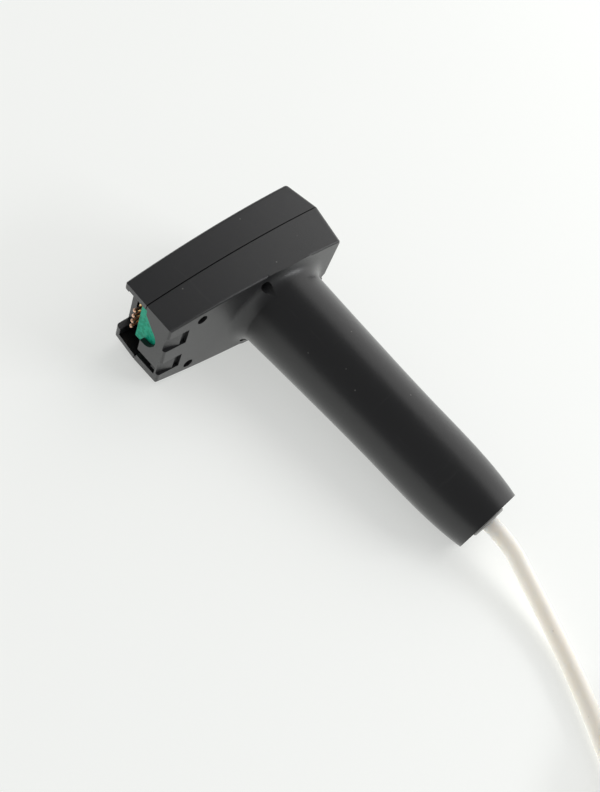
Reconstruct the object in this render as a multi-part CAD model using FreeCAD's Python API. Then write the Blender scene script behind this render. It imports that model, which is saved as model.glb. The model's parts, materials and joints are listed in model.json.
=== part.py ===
import FreeCAD, Part
import math
import os

# Hand-held control handset lying on its side, with its cable and plug.
#
# Working frame, mm: the handle's axis is the Y axis and the handle points to -Y. The head lies
# along X with its open socket end at -X. y = 0 is the plane where the two housing halves part and
# z = 0 is the middle of the head. At the end everything is turned into its resting pose: the head's
# flank and the handle's end lie on z = 0, and the origin is under the middle of the object's box.

V = FreeCAD.Vector
DEG = math.pi / 180.0

# --- head -----------------------------------------------------------------------------------
HEAD_LENGTH = 90.0
AXIS_FROM_OPEN = 58.0          # open end to handle axis
OPEN_HALF = 17.5               # half the head's thickness at the open end
MIDDLE_HALF = 23.15
CLOSED_HALF = 23.6
BASE_DEPTH_OPEN = 13.9         # parting plane to the handle-side face
BASE_DEPTH_CLOSED = 18.9
COVER_DEPTH_OPEN = 13.4        # parting plane to the top of the cover
COVER_DEPTH_CLOSED = 16.6
BASE_SLANT = 4.1               # the closed end leans in this much down the base
COVER_SLANT = 2.3
MOUTH_LEAN = 0.8               # and the cover's open end this much
BASE_DRAFT = 0.3
COVER_DRAFT = 1.0
WALL = 2.3
BASE_FLOOR = 2.4
COVER_TOP = 2.8
END_WALL = 2.2
CORNER_ROUND = 2.2
SEAM_CHAMFER = 0.2             # small bevel on both halves where they part
BASE_EDGE_ROUND = 1.0
COVER_EDGE_ROUND = 1.6

# --- handle ---------------------------------------------------------------------------------
HANDLE_REACH = 139.7           # parting plane to the handle's end
ROOT_R = 20.1
GRIP_R = 18.05
WAIST_R = 17.1
NECK_R = 16.2
TIP_R = 14.4
TIP_TAPER = 13.3
GRIP_LEVEL = -59.0             # where GRIP_R and WAIST_R are measured
WAIST_LEVEL = -93.0
ROOT_FILLET = 5.75
HANDLE_WALL = 2.4
HANDLE_END_WALL = 3.0
HANDLE_TOP = -10.0             # the turned shape starts inside the head
FLARE_DEPTH = 8.0              # below the handle-side face the flare has run out

# --- socket end -----------------------------------------------------------------------------
PLATE_DROP = 0.8               # the end wall stops this far below the parting plane
SLOT_LOW_Z = -13.7
SLOT_HIGH_Z = -9.7
WINDOW_LENGTH = 7.2            # cut-out in the cover's top wall
WINDOW_LOW_Z = -10.8
WINDOW_HIGH_Z = 13.7
POCKET_LENGTH = 10.0           # two snap pockets in the handle-side face
POCKET_INNER_Z = 3.9
POCKET_OUTER_Z = 12.1
POCKET_DEPTH = 1.5
SNAP_START = 1.0
SNAP_END = 7.0
SNAP_RISE = 1.2

# --- screws ---------------------------------------------------------------------------------
END_SCREW_INSET = 3.5          # from the closed end; its recess opens through the slanted end
SCREW_PLACES = [               # from the open end, from the middle plane
    (15.5, 14.8), (15.5, -14.8), (45.7, 17.8), (45.7, -17.8), (HEAD_LENGTH - END_SCREW_INSET, 0.0),
]
SCREW_RECESS_R = 2.2
SCREW_HEAD_R = 2.0
SCREW_HEAD_HEIGHT = 1.8
SCREW_R = 1.3
SCREW_CLEARANCE = 0.3
SCREW_BITE = 8.0               # thread length in the cover's boss
SEAT_DEPTH = 5.5               # parting plane to the seat of the screw's head
TOWER_R = 3.6

# --- boards ---------------------------------------------------------------------------------
BOARD_THICK = 1.6
BOARD_LEVEL = -4.0             # underside of the main board
BOARD_GAP = 0.9
BOARD_START = 7.4              # from the open end
BOARD_STOP = HEAD_LENGTH - 9.5
POST_R = 2.6
BOARD_SCREW_R = 1.0
BOARD_SCREW_LENGTH = 5.0       # below the board
BOARD_SCREW_HEAD_R = 1.9
BOARD_SCREW_HEAD_HEIGHT = 1.4
BOARD_HOLE_R = 1.15
BACK_POST = BOARD_STOP - 4.0
POST_PLACES = [(22.0, 9.0), (22.0, -9.0), (BACK_POST, 13.0), (BACK_POST, -13.0)]
CONTACT_BOARD_GAP = 0.3        # behind the end wall
CONTACT_BOARD_TOP = 4.1
GUIDE_TOP = -4.0               # of the upright that guides its lower edge
CONTACT_BOARD_LOW_Z = -7.9
CONTACT_BOARD_HIGH_Z = 14.3
LINK_COUNT = 5
LINK_PITCH = 1.9
LINK_FIRST_Z = 5.0
LINK_SIZE = 0.6                # square wire
LINK_LEVEL = -1.6              # underside of the wire where it leaves the contact board
CHIP_START = -31.0
CHIP_LENGTH = 10.4
CHIP_HALF = 3.75
CHIP_HEIGHT = 2.2
CHIP_LIFT = 0.15
LEAD_COUNT = 8                 # each side
LEAD_PITCH = 1.27
LEAD_REACH = 5.2               # chip's middle to the lead's toe
CAN_R = 3.15
CAN_HEIGHT = 8.0
CAN_PLACES = [(4.0, -9.0), (12.5, -9.0)]
RESISTOR_COUNT = 6
RESISTOR_PITCH = 3.2
RESISTOR_START = -14.0
RESISTOR_SIZE = (2.0, 0.55, 1.25)
RESISTOR_Z = 4.0
REGULATOR_X = (7.0, 13.5)
REGULATOR_Z = (-1.5, 4.0)
REGULATOR_HEIGHT = 2.3
REGULATOR_TAB = 1.5

# --- spring contacts ------------------------------------------------------------------------
CONTACT_COUNT = 4
CONTACT_PITCH = 3.4
CONTACT_FIRST_Z = 1.6
CONTACT_LEVEL = 8.6            # above the parting plane
CONTACT_RECESS = 3.5           # tip behind the open end's plane
CONTACT_STROKE = 1.5
BEAD_R = 0.9
NECK_PIN_R = 0.62
PISTON_R = 0.88
PISTON_LENGTH = 1.5
PIN_CLEARANCE = 0.05
BARREL_R = 1.3
BARREL_LENGTH = 9.5
BARREL_LIP = 0.4
BLOCK_START = 7.8
BLOCK_LENGTH = 9.0
TAIL_HALF = 0.35
SPRING_WIRE_R = 0.12
SPRING_TURNS = 9

# --- cable and its parts --------------------------------------------------------------------
CABLE_R = 3.5
GROMMET_PROUD = 1.0
GROMMET_RIM_R = 7.5
GROMMET_NECK_R = 5.5
GROMMET_SLEEVE = 22.0
CABLE_INSIDE_TOP = -24.0
CORE_R = 0.7
CORE_COUNT = 4
CORE_PITCH = 2.5

# --- resting pose and the cable's run on the surface ------------------------------------------
REST_ROLL = 3.0                # degrees, open end down
FIRST_RUN = 11.0               # straight out of the grommet
CABLE_POINTS = [               # then drooping to the surface and bearing away to the coil
    (10.3, -102.0, 10.6), (7.6, -113.5, 7.4), (4.0, -125.0, 4.9), (-1.0, -137.0, 3.8),
    (-8.0, -149.5, 3.6), (-17.2, -164.0, 3.6), (-26.8, -179.5, 3.9), (-34.7, -192.9, 4.5),
]
COIL_CENTRE = (5.0, -214.0)
COIL_FLOOR = 1.0               # the coil lies on its ties
COIL_TURN_R = 41.5             # middle of the two columns of turns
COIL_LAYERS = 3
TAIL_POINTS = [                # angle about the coil's middle in degrees, radius, level
    (278.0, 45.0, 18.5), (296.0, 48.5, 18.0), (315.0, 54.0, 14.6), (332.0, 57.5, 10.6),
    (348.0, 58.5, 8.6), (364.0, 58.5, 8.1),
]
TIE_ANGLES = (75.0, 225.0)
TIE_WIDTH = 8.0
TIE_THICK = 0.9
BOOT_LENGTH = 24.0
BOOT_START_R = 4.3
BOOT_END_R = 6.4
SHELL_R = 8.0
SHELL_LENGTH = 28.0
SHELL_WALL = 1.0
SHELL_MOUTH = 9.0              # open depth in front of the insulator
PLUG_PIN_R = 0.7
PLUG_PIN_CIRCLE = 4.2
PLUG_PIN_COUNT = 5

X_OPEN = -AXIS_FROM_OPEN
X_CLOSED = HEAD_LENGTH - AXIS_FROM_OPEN


# ============================================================================================
# small helpers
# ============================================================================================
def half_width(x):
    """Half the head's thickness at x: a parabola through its three named values."""
    u = (x - X_OPEN) / HEAD_LENGTH
    return OPEN_HALF * (1 - u) * (1 - 2 * u) + 4 * MIDDLE_HALF * u * (1 - u) + CLOSED_HALF * u * (2 * u - 1)


def base_y(x):
    """Level of the handle-side face."""
    return -BASE_DEPTH_OPEN - (BASE_DEPTH_CLOSED - BASE_DEPTH_OPEN) * (x - X_OPEN) / HEAD_LENGTH


def cover_y(x):
    """Level of the cover's top."""
    return COVER_DEPTH_OPEN + (COVER_DEPTH_CLOSED - COVER_DEPTH_OPEN) * (x - X_OPEN) / HEAD_LENGTH


def box(x, y, z):
    """Box from three (low, high) pairs."""
    return Part.makeBox(x[1] - x[0], y[1] - y[0], z[1] - z[0], V(x[0], y[0], z[0]))


def rod(radius, start, end):
    """Round bar between two points."""
    return Part.makeCylinder(radius, (end - start).Length, start, end - start)


def tube(outer, inner, start, end):
    return rod(outer, start, end).cut(rod(inner, start, end))


def prism(points, z_low, z_high):
    """Polygon in the XY plane carried along Z."""
    corners = [V(x, y, z_low) for x, y in points]
    return Part.Face(Part.makePolygon(corners + corners[:1])).extrude(V(0, 0, z_high - z_low))


def layer(top, bottom):
    """Everything between two slanted levels, wider than the head."""
    x0 = X_OPEN - 20
    x1 = X_CLOSED + 20
    z = MIDDLE_HALF + 20
    return prism([(x0, top(x0)), (x1, top(x1)), (x1, bottom(x1)), (x0, bottom(x0))], -z, z)


def outline(x_start, x_stop, level, trim):
    """Outline of the head on a level that may slope along X; its flanks are arcs."""
    places = (x_start, (x_start + x_stop) / 2, x_stop)
    upper = [V(x, level(x), half_width(x) - trim) for x in places]
    lower = [V(p.x, p.y, -p.z) for p in upper]
    return Part.Wire([
        Part.Arc(*upper).toShape(),
        Part.LineSegment(upper[2], lower[2]).toShape(),
        Part.Arc(*reversed(lower)).toShape(),
        Part.LineSegment(lower[0], upper[0]).toShape(),
    ])


def between(first, second):
    return Part.makeLoft([first, second], True, True)


def samples(edge):
    first = edge.FirstParameter
    span = edge.LastParameter - first
    return [edge.valueAt(first + span * k) for k in (0.0, 0.5, 1.0)]


def edges_on(shape, level):
    """Edges that lie on a slanted level."""
    return [e for e in shape.Edges if all(abs(p.y - level(p.x)) < 0.05 for p in samples(e))]


def corner_edges(shape, x_low, x_high):
    """Edges that climb from one level to the other near x_low..x_high."""
    found = []
    for e in shape.Edges:
        points = samples(e)
        climbs = abs(points[0].y - points[2].y) > 5
        if climbs and all(x_low < p.x < x_high for p in points):
            found.append(e)
    return found


def revolved(points):
    """Solid of revolution about the Y axis from (radius, y) corners."""
    corners = [V(r, y, 0) for r, y in points]
    face = Part.Face(Part.makePolygon(corners + corners[:1]))
    return face.revolve(V(0, 0, 0), V(0, 1, 0), 360)


def rounded_wire(points, radii=None):
    """Straight runs joined by tangent arcs; radii=None makes each arc as large as its runs allow."""
    edges = []
    here = points[0]
    used = []
    for i in range(1, len(points) - 1):
        a, b, c = points[i - 1], points[i], points[i + 1]
        into = (b - a).normalize()
        out = (c - b).normalize()
        half_turn = into.getAngle(out) / 2
        if radii is None:
            radius = 0.45 * min((b - a).Length, (c - b).Length) / math.tan(half_turn)
        else:
            radius = radii
        used.append(radius)
        back = radius * math.tan(half_turn)
        start = b - into * back
        end = b + out * back
        inward = (out - into).normalize()
        middle = b + inward * (radius / math.cos(half_turn) - radius)
        edges.append(Part.LineSegment(here, start).toShape())
        edges.append(Part.Arc(start, middle, end).toShape())
        here = end
    edges.append(Part.LineSegment(here, points[-1]).toShape())
    return Part.Wire(edges), used


def sweep(wire, radius):
    """Round tube along a wire."""
    first = wire.Edges[0]
    direction = first.tangentAt(first.FirstParameter)
    ring = Part.Wire(Part.makeCircle(radius, first.valueAt(first.FirstParameter), direction))
    return wire.makePipeShell([ring], True, False)


# ============================================================================================
# housing
# ============================================================================================
def screw_axes():
    return [(X_OPEN + along, z) for along, z in SCREW_PLACES]


def handle_outside():
    """Handle turned about its axis, from inside the head to its end."""
    top = HANDLE_TOP
    end = -HANDLE_REACH
    curve = Part.BSplineCurve()
    curve.interpolate([
        V(ROOT_R, top, 0),
        V(GRIP_R, GRIP_LEVEL, 0),
        V(WAIST_R, WAIST_LEVEL, 0),
        V(NECK_R, end + TIP_TAPER, 0),
        V((NECK_R + TIP_R) / 2 + 0.1, end + TIP_TAPER * 0.45, 0),
        V(TIP_R, end, 0),
    ])
    wire = Part.Wire([
        Part.LineSegment(V(0, top, 0), V(ROOT_R, top, 0)).toShape(),
        curve.toShape(),
        Part.LineSegment(V(TIP_R, end, 0), V(0, end, 0)).toShape(),
        Part.LineSegment(V(0, end, 0), V(0, top, 0)).toShape(),
    ])
    return Part.Face(wire).revolve(V(0, 0, 0), V(0, 1, 0), 360)


def base_outside():
    """Lower half of the head with the flared root of the handle."""
    stretch = 1 + FLARE_DEPTH / BASE_DEPTH_CLOSED
    start = X_OPEN - 2
    envelope = between(
        outline(start, X_CLOSED, lambda x: 0.0, 0.0),
        outline(start, X_CLOSED - BASE_SLANT * stretch, lambda x: base_y(x) - FLARE_DEPTH,
                BASE_DRAFT * stretch),
    )
    envelope = envelope.cut(box((start - 5, X_OPEN), (-80, 40), (-80, 80)))
    head = envelope.common(layer(lambda x: 1.0, base_y))
    head = head.makeFillet(CORNER_ROUND, corner_edges(head, X_CLOSED - 8, X_CLOSED + 1))
    head = head.makeFillet(BASE_EDGE_ROUND, edges_on(head, base_y))
    head = head.makeChamfer(SEAM_CHAMFER, edges_on(head, lambda x: 0.0))
    handle = handle_outside()
    flared = layer(lambda x: 5.0, base_y).fuse(handle).removeSplitter()
    ring = [
        e for e in flared.Edges
        if e.BoundBox.XLength > 30 and -30 < e.BoundBox.YMin and e.BoundBox.YMax < -12
        and e.BoundBox.XLength < 3 * ROOT_R
    ]
    flared = flared.makeFillet(ROOT_FILLET, ring)
    reach = ROOT_R + ROOT_FILLET - 0.2
    root = flared.common(envelope)
    root = root.common(layer(lambda x: base_y(x) + 1.6, lambda x: base_y(x) - FLARE_DEPTH))
    root = root.common(rod(reach, V(0, -50, 0), V(0, 0, 0)))
    grip = handle.common(layer(lambda x: base_y(x) - FLARE_DEPTH, lambda x: -HANDLE_REACH - 10))
    return head.fuse(root).fuse(grip)


def notch_tool():
    """U-shaped notch with a lobed bottom in the end wall, open towards the cover."""
    x = X_OPEN - 1
    p = {
        "mouth_far": V(x, 0.5, 14.3),
        "slope_end": V(x, -5.6, 8.0),
        "lobe": V(x, -8.3, 4.3),
        "lobe_end": V(x, -7.0, -0.8),
        "knee": V(x, -5.2, -2.7),
        "knee_end": V(x, -3.0, -3.4),
        "mouth_near": V(x, 0.5, -3.5),
    }
    wire = Part.Wire([
        Part.LineSegment(p["mouth_far"], p["slope_end"]).toShape(),
        Part.Arc(p["slope_end"], p["lobe"], p["lobe_end"]).toShape(),
        Part.Arc(p["lobe_end"], p["knee"], p["knee_end"]).toShape(),
        Part.LineSegment(p["knee_end"], p["mouth_near"]).toShape(),
        Part.LineSegment(p["mouth_near"], p["mouth_far"]).toShape(),
    ])
    return Part.Face(wire).extrude(V(END_WALL + 2, 0, 0))


def base_cavity():
    """Space inside the lower half, behind the end wall, and the handle's bore."""
    start = X_OPEN + END_WALL
    room = between(
        outline(start, X_CLOSED - WALL, lambda x: 1.0, WALL),
        outline(start, X_CLOSED - BASE_SLANT - WALL, lambda x: base_y(x) + BASE_FLOOR, WALL + BASE_DRAFT),
    )
    bore_end = -HANDLE_REACH + HANDLE_END_WALL
    neck_y = -HANDLE_REACH + TIP_TAPER
    bore = revolved([
        (0.0, HANDLE_TOP), (ROOT_R - HANDLE_WALL - 0.4, HANDLE_TOP), (GRIP_R - HANDLE_WALL, GRIP_LEVEL),
        (NECK_R - HANDLE_WALL, neck_y), (TIP_R - HANDLE_WALL + 0.3, bore_end), (0.0, bore_end),
    ])
    outlet = rod(GROMMET_NECK_R, V(0, -HANDLE_REACH - 1, 0), V(0, bore_end + 1, 0))
    return room, bore, outlet


def board_guides():
    """Two uprights that hold the contact board's edges, each with a slot as thick as the board."""
    gap = 0.05
    x_board = X_OPEN + END_WALL + CONTACT_BOARD_GAP
    x_low = x_board - 1.2
    x_high = x_board + BOARD_THICK + 1.2
    floor = base_y(x_low) + BASE_FLOOR - 0.3
    near = box((x_low, x_high), (floor, GUIDE_TOP), (CONTACT_BOARD_LOW_Z - 1.8, CONTACT_BOARD_LOW_Z + 1.0))
    far = box((x_low, x_high), (floor, GUIDE_TOP - 3.0),
              (CONTACT_BOARD_HIGH_Z - 0.9, half_width(x_low) - WALL + 0.3))
    slot = box((x_board - gap, x_board + BOARD_THICK + gap), (floor + 0.3, 0.0),
               (CONTACT_BOARD_LOW_Z - gap, CONTACT_BOARD_HIGH_Z + gap))
    return near.fuse(far).cut(slot)


def snap_pockets(shape):
    """Two shallow pockets beside the open end, each with a ramp that a front module snaps over."""
    def roof(x):
        return base_y(x) + POCKET_DEPTH
    x0 = X_OPEN - 1
    x1 = X_OPEN + POCKET_LENGTH
    s0 = X_OPEN + SNAP_START
    s1 = X_OPEN + SNAP_END
    for z0, z1 in ((POCKET_INNER_Z, POCKET_OUTER_Z), (-POCKET_OUTER_Z, -POCKET_INNER_Z)):
        shape = shape.cut(prism([(x0, -40), (x1, -40), (x1, roof(x1)), (x0, roof(x0))], z0, z1))
        ramp = prism([(s0, roof(s0) + 0.2), (s1, roof(s1) + 0.2), (s1, roof(s1) - SNAP_RISE), (s0, roof(s0))],
                     z0 - 0.2, z1 + 0.2)
        shape = shape.fuse(ramp)
    return shape


def make_handle_body():
    body = base_outside()
    room, bore, outlet = base_cavity()
    envelope = between(
        outline(X_OPEN, X_CLOSED - 0.3, lambda x: 0.0, 0.3),
        outline(X_OPEN, X_CLOSED - BASE_SLANT - 0.3, lambda x: base_y(x) + 0.3, 0.3 + BASE_DRAFT),
    )
    body = body.cut(room)
    for x, z in screw_axes():
        tower = rod(TOWER_R, V(x, base_y(x) - 3, z), V(x, 0, z)).common(envelope)
        body = body.fuse(tower)
    for along, z in POST_PLACES:
        x = X_OPEN + along
        body = body.fuse(rod(POST_R, V(x, base_y(x) + BASE_FLOOR - 0.3, z), V(x, BOARD_LEVEL, z)))
        hole_end = BOARD_LEVEL - BOARD_SCREW_LENGTH - 1
        body = body.cut(rod(BOARD_SCREW_R, V(x, hole_end, z), V(x, BOARD_LEVEL + 1, z)))
    body = body.fuse(board_guides())
    for x, z in screw_axes():
        body = body.cut(rod(SCREW_RECESS_R, V(x, base_y(x) - ROOT_FILLET - 3, z), V(x, -SEAT_DEPTH, z)))
        body = body.cut(rod(SCREW_R + SCREW_CLEARANCE, V(x, -SEAT_DEPTH - 1, z), V(x, 1, z)))
    body = body.cut(bore).cut(outlet)
    body = snap_pockets(body)
    body = body.cut(notch_tool())
    end_x = (X_OPEN - 1, X_OPEN + END_WALL + 1)
    slot_floor = base_y(X_OPEN) + BASE_FLOOR
    body = body.cut(box(end_x, (slot_floor, 1.0), (SLOT_LOW_Z, SLOT_HIGH_Z)))
    rim = half_width(X_OPEN) - WALL
    body = body.cut(box(end_x, (-PLATE_DROP, 1.0), (-rim, rim)))
    rib = box((X_OPEN + 0.8, X_OPEN + END_WALL), (slot_floor - 0.2, slot_floor + 3.0), (-12.4, -11.4))
    return body.fuse(rib)


def make_head_cover():
    outer = between(
        outline(X_OPEN, X_CLOSED, lambda x: 0.0, 0.0),
        outline(X_OPEN + MOUTH_LEAN, X_CLOSED - COVER_SLANT, cover_y, COVER_DRAFT),
    )
    outer = outer.makeFillet(CORNER_ROUND, corner_edges(outer, X_CLOSED - 8, X_CLOSED + 1))
    outer = outer.makeFillet(COVER_EDGE_ROUND, edges_on(outer, cover_y))
    outer = outer.makeChamfer(SEAM_CHAMFER, edges_on(outer, lambda x: 0.0))
    room = between(
        outline(X_OPEN - 3, X_CLOSED - WALL, lambda x: -1.0, WALL),
        outline(X_OPEN - 3, X_CLOSED - COVER_SLANT - WALL, lambda x: cover_y(x) - COVER_TOP,
                WALL + COVER_DRAFT),
    )
    cover = outer.cut(room)
    inside = between(
        outline(X_OPEN + 1, X_CLOSED - 0.3, lambda x: 0.0, 0.3),
        outline(X_OPEN + 1, X_CLOSED - COVER_SLANT - 0.3, lambda x: cover_y(x) - 0.5, 0.3 + COVER_DRAFT),
    )
    for x, z in screw_axes():
        cover = cover.fuse(rod(TOWER_R, V(x, 0, z), V(x, cover_y(x), z)).common(inside))
    for x, z in screw_axes():
        cover = cover.cut(rod(SCREW_R, V(x, -1, z), V(x, SCREW_BITE + 0.5, z)))
    window = box((X_OPEN - 1, X_OPEN + WINDOW_LENGTH), (COVER_DEPTH_OPEN / 2, COVER_DEPTH_CLOSED + 5),
                 (WINDOW_LOW_Z, WINDOW_HIGH_Z))
    return cover.cut(window)


def make_housing_screws():
    screws = []
    for x, z in screw_axes():
        head = rod(SCREW_HEAD_R, V(x, -SEAT_DEPTH - SCREW_HEAD_HEIGHT, z), V(x, -SEAT_DEPTH, z))
        for turn in (0, 90):
            slot = box((-0.3, 0.3), (-0.1, 1.1), (-1.3, 1.3))
            slot.rotate(V(0, 0, 0), V(0, 1, 0), turn)
            slot.translate(V(x, -SEAT_DEPTH - SCREW_HEAD_HEIGHT, z))
            head = head.cut(slot)
        screws.append(head.fuse(rod(SCREW_R, V(x, -SEAT_DEPTH, z), V(x, SCREW_BITE, z))))
    return Part.makeCompound(screws)


# ============================================================================================
# boards and what is on them
# ============================================================================================
BOARD_TOP = BOARD_LEVEL + BOARD_THICK


def make_main_board():
    low = outline(X_OPEN + BOARD_START, X_OPEN + BOARD_STOP, lambda x: BOARD_LEVEL,
                  WALL + BASE_DRAFT + BOARD_GAP)
    board = Part.Face(low).extrude(V(0, BOARD_THICK, 0))
    for x, z in screw_axes():
        board = board.cut(rod(TOWER_R + 0.5, V(x, -20, z), V(x, 20, z)))
    for along, z in POST_PLACES:
        x = X_OPEN + along
        board = board.cut(rod(BOARD_HOLE_R, V(x, -20, z), V(x, 20, z)))
    return board


def make_board_screws():
    screws = []
    for along, z in POST_PLACES:
        x = X_OPEN + along
        top = BOARD_TOP + BOARD_SCREW_HEAD_HEIGHT
        head = rod(BOARD_SCREW_HEAD_R, V(x, BOARD_TOP, z), V(x, top, z))
        head = head.cut(box((x - 1.2, x + 1.2), (top - 0.7, top + 1), (z - 0.25, z + 0.25)))
        shank = rod(BOARD_SCREW_R, V(x, BOARD_LEVEL - BOARD_SCREW_LENGTH, z), V(x, BOARD_TOP, z))
        screws.append(head.fuse(shank))
    return Part.makeCompound(screws)


def contact_board_x():
    return X_OPEN + END_WALL + CONTACT_BOARD_GAP


def make_contact_board():
    x = contact_board_x()
    floor = base_y(x - 1.2) + BASE_FLOOR
    return box((x, x + BOARD_THICK), (floor, CONTACT_BOARD_TOP), (CONTACT_BOARD_LOW_Z, CONTACT_BOARD_HIGH_Z))


def make_board_link_pins():
    """Angle pins from the back of the contact board down to the main board."""
    back = contact_board_x() + BOARD_THICK
    foot = X_OPEN + BOARD_START + 1.6
    half = LINK_SIZE / 2
    pins = []
    for k in range(LINK_COUNT):
        z = LINK_FIRST_Z + LINK_PITCH * k
        flat = box((back, foot + LINK_SIZE), (LINK_LEVEL, LINK_LEVEL + LINK_SIZE), (z - half, z + half))
        pins.append(flat.fuse(box((foot, foot + LINK_SIZE), (BOARD_TOP, LINK_LEVEL), (z - half, z + half))))
    return Part.makeCompound(pins)


def make_driver_chip():
    return box((CHIP_START, CHIP_START + CHIP_LENGTH),
               (BOARD_TOP + CHIP_LIFT, BOARD_TOP + CHIP_LIFT + CHIP_HEIGHT), (-CHIP_HALF, CHIP_HALF))


def make_chip_leads():
    """Gull-wing leads: out of the chip's side, down, and out along the board."""
    leads = []
    half = 0.2
    shoulder = BOARD_TOP + 1.1
    first = CHIP_START + (CHIP_LENGTH - LEAD_PITCH * (LEAD_COUNT - 1)) / 2
    for k in range(LEAD_COUNT):
        x = (first + LEAD_PITCH * k - half, first + LEAD_PITCH * k + half)
        for side in (-1, 1):
            knee = side * (LEAD_REACH - 0.9)
            bend = side * (LEAD_REACH - 0.7)
            lead = box(x, (shoulder - half, shoulder), sorted((side * CHIP_HALF, bend)))
            lead = lead.fuse(box(x, (BOARD_TOP, shoulder), sorted((knee, bend))))
            leads.append(lead.fuse(box(x, (BOARD_TOP, BOARD_TOP + half), sorted((knee, side * LEAD_REACH)))))
    return Part.makeCompound(leads)


def make_storage_capacitors():
    cans = []
    top = BOARD_TOP + CAN_HEIGHT
    for x, z in CAN_PLACES:
        can = rod(CAN_R, V(x, BOARD_TOP, z), V(x, top, z))
        cans.append(can.makeFillet(0.5, [e for e in can.Edges if abs(e.BoundBox.YMin - top) < 0.01]))
    return Part.makeCompound(cans)


def make_chip_resistors():
    parts = []
    length, height, width = RESISTOR_SIZE
    for k in range(RESISTOR_COUNT):
        x = RESISTOR_START + RESISTOR_PITCH * k
        parts.append(box((x, x + length), (BOARD_TOP, BOARD_TOP + height), (RESISTOR_Z, RESISTOR_Z + width)))
    return Part.makeCompound(parts)


def make_regulator():
    x0, x1 = REGULATOR_X
    z0, z1 = REGULATOR_Z
    body = box((x0, x1), (BOARD_TOP + 0.1, BOARD_TOP + REGULATOR_HEIGHT), (z0, z1))
    tab = box((x0 + 0.5, x1 - 0.5), (BOARD_TOP, BOARD_TOP + 0.5), (z1, z1 + REGULATOR_TAB))
    return body.fuse(tab)


# ============================================================================================
# spring contacts
# ============================================================================================
def contact_places():
    return [CONTACT_FIRST_Z - CONTACT_PITCH * k for k in range(CONTACT_COUNT)]


def along_x(points, z):
    """Solid turned about a contact's axis from (x, radius) corners."""
    corners = [V(x, r, 0) for x, r in points]
    solid = Part.Face(Part.makePolygon(corners + corners[:1])).revolve(V(0, 0, 0), V(1, 0, 0), 360)
    solid.translate(V(0, CONTACT_LEVEL, z))
    return solid


BARREL_FRONT = X_OPEN + BLOCK_START - 0.3
BARREL_BACK = BARREL_FRONT + BARREL_LENGTH
PISTON_FRONT = BARREL_FRONT + BARREL_LIP + 0.05
SPRING_BACK = BARREL_BACK - 1.0


def make_contact_block():
    z = contact_places()
    x = (X_OPEN + BLOCK_START, X_OPEN + BLOCK_START + BLOCK_LENGTH)
    block = box(x, (BOARD_TOP, CONTACT_LEVEL + 1.75), (z[-1] - 2.0, z[0] + 2.0))
    for place in z:
        block = block.cut(rod(BARREL_R, V(x[0] - 1, CONTACT_LEVEL, place), V(x[1] + 1, CONTACT_LEVEL, place)))
    return block


def make_contact_barrels():
    bore = PISTON_R + PIN_CLEARANCE
    mouth = NECK_PIN_R + PIN_CLEARANCE
    inner = BARREL_FRONT + BARREL_LIP
    return Part.makeCompound([
        along_x([(BARREL_FRONT, mouth), (BARREL_FRONT, BARREL_R), (BARREL_BACK, BARREL_R), (BARREL_BACK, 0),
                 (SPRING_BACK, 0), (SPRING_BACK, bore), (inner, bore), (inner, mouth)], z)
        for z in contact_places()
    ])


def make_contact_tails():
    """Solder tail behind each barrel, down to the main board."""
    tails = []
    for z in contact_places():
        low, high = CONTACT_LEVEL - TAIL_HALF, CONTACT_LEVEL + TAIL_HALF
        across = (z - TAIL_HALF, z + TAIL_HALF)
        tail = box((BARREL_BACK, BARREL_BACK + 0.7), (low, high), across)
        drop = box((BARREL_BACK + 0.1, BARREL_BACK + 0.7), (BOARD_TOP, low), across)
        tails.append(tail.fuse(drop))
    return Part.makeCompound(tails)


def make_contact_pin(z):
    """Bead, neck and piston in one turned piece."""
    tip = X_OPEN + CONTACT_RECESS
    centre = tip + BEAD_R
    neck_start = centre + math.sqrt(BEAD_R ** 2 - NECK_PIN_R ** 2)
    profile = Part.Wire([
        Part.Arc(V(tip, 0, 0), V(centre, BEAD_R, 0), V(neck_start, NECK_PIN_R, 0)).toShape(),
        Part.makePolygon([
            V(neck_start, NECK_PIN_R, 0), V(PISTON_FRONT, NECK_PIN_R, 0), V(PISTON_FRONT, PISTON_R, 0),
            V(PISTON_FRONT + PISTON_LENGTH, PISTON_R, 0), V(PISTON_FRONT + PISTON_LENGTH, 0, 0), V(tip, 0, 0),
        ]),
    ])
    pin = Part.Face(profile).revolve(V(0, 0, 0), V(1, 0, 0), 360)
    pin.translate(V(0, CONTACT_LEVEL, z))
    return pin


def make_contact_spring(z):
    start = PISTON_FRONT + PISTON_LENGTH + SPRING_WIRE_R + 0.01
    length = SPRING_BACK - SPRING_WIRE_R - 0.01 - start
    mean = PISTON_R - SPRING_WIRE_R - 0.06
    helix = Part.makeHelix(length / SPRING_TURNS, length, mean)
    ring = Part.Wire(Part.makeCircle(SPRING_WIRE_R, V(mean, 0, 0), V(0, 1, 0)))
    coil = helix.makePipeShell([ring], True, True)
    coil.rotate(V(0, 0, 0), V(0, 1, 0), 90)
    coil.translate(V(start, CONTACT_LEVEL, z))
    return coil


# ============================================================================================
# cable inside the handle
# ============================================================================================
EXIT_Y = -HANDLE_REACH - GROMMET_PROUD
SOCKET_DEPTH = 5.0
PLUG_FLOOR = -12.5


def make_cable_grommet():
    wall_in = -HANDLE_REACH + HANDLE_END_WALL
    return revolved([
        (CABLE_R, EXIT_Y), (GROMMET_RIM_R - 0.5, EXIT_Y), (GROMMET_RIM_R, EXIT_Y + 0.5),
        (GROMMET_RIM_R, -HANDLE_REACH), (GROMMET_NECK_R, -HANDLE_REACH), (GROMMET_NECK_R, wall_in),
        (GROMMET_NECK_R + 1.5, wall_in), (GROMMET_NECK_R + 1.0, wall_in + 1.4),
        (CABLE_R + 1.0, wall_in + GROMMET_SLEEVE), (CABLE_R, wall_in + GROMMET_SLEEVE),
    ])


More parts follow.
